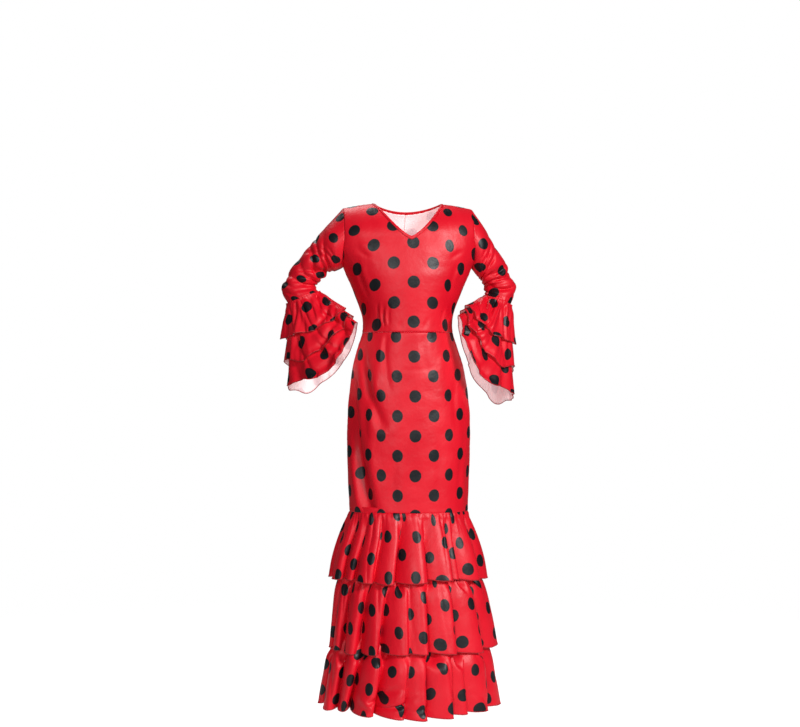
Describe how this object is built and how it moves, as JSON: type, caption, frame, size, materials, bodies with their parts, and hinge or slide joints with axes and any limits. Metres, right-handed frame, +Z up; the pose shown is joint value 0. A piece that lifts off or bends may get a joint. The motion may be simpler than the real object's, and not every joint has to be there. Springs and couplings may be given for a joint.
{
  "type": "flamenco dress",
  "caption": "Long fitted dress with a V neck, long sleeves that end in layered ruffled cuffs, and a layered ruffled hem; hollow, held as it is worn with the hands on the hips.",
  "frame": {"origin": "between the wearer's shoulders, on the line through the two shoulder seams at the neck, where the wearer's body carries the dress", "axes": "+Z up, the front faces -Y, +X towards the wearer's left"},
  "size_m": [0.4888, 0.3229, 1.0365],
  "materials": {
    "back_placket": "satin",
    "bodice_back_left": "satin",
    "bodice_back_right": "satin",
    "bodice_front": "satin",
    "neck_binding": "satin",
    "skirt_back_left": "satin",
    "skirt_back_right": "satin",
    "skirt_front": "satin",
    "skirt_ruffle_1": "satin",
    "skirt_ruffle_2": "satin",
    "skirt_ruffle_3": "satin",
    "sleeve_left": "satin",
    "sleeve_left_ruffle_1": "satin",
    "sleeve_left_ruffle_2": "satin",
    "sleeve_left_ruffle_3": "satin",
    "sleeve_right": "satin",
    "sleeve_right_ruffle_1": "satin",
    "sleeve_right_ruffle_2": "satin",
    "sleeve_right_ruffle_3": "satin",
    "underskirt": "satin"
  },
  "bodies": {
    "root": {"back_placket": "back_placket", "bodice_back_left": "bodice_back_left", "bodice_back_right": "bodice_back_right", "bodice_front": "bodice_front", "neck_binding": "neck_binding", "skirt_back_left": "skirt_back_left", "skirt_back_right": "skirt_back_right", "skirt_front": "skirt_front", "skirt_ruffle_1": "skirt_ruffle_1", "skirt_ruffle_2": "skirt_ruffle_2", "skirt_ruffle_3": "skirt_ruffle_3", "sleeve_left": "sleeve_left", "sleeve_left_ruffle_1": "sleeve_left_ruffle_1", "sleeve_left_ruffle_2": "sleeve_left_ruffle_2", "sleeve_left_ruffle_3": "sleeve_left_ruffle_3", "sleeve_right": "sleeve_right", "sleeve_right_ruffle_1": "sleeve_right_ruffle_1", "sleeve_right_ruffle_2": "sleeve_right_ruffle_2", "sleeve_right_ruffle_3": "sleeve_right_ruffle_3", "underskirt": "underskirt"}
  },
  "joints": []
}
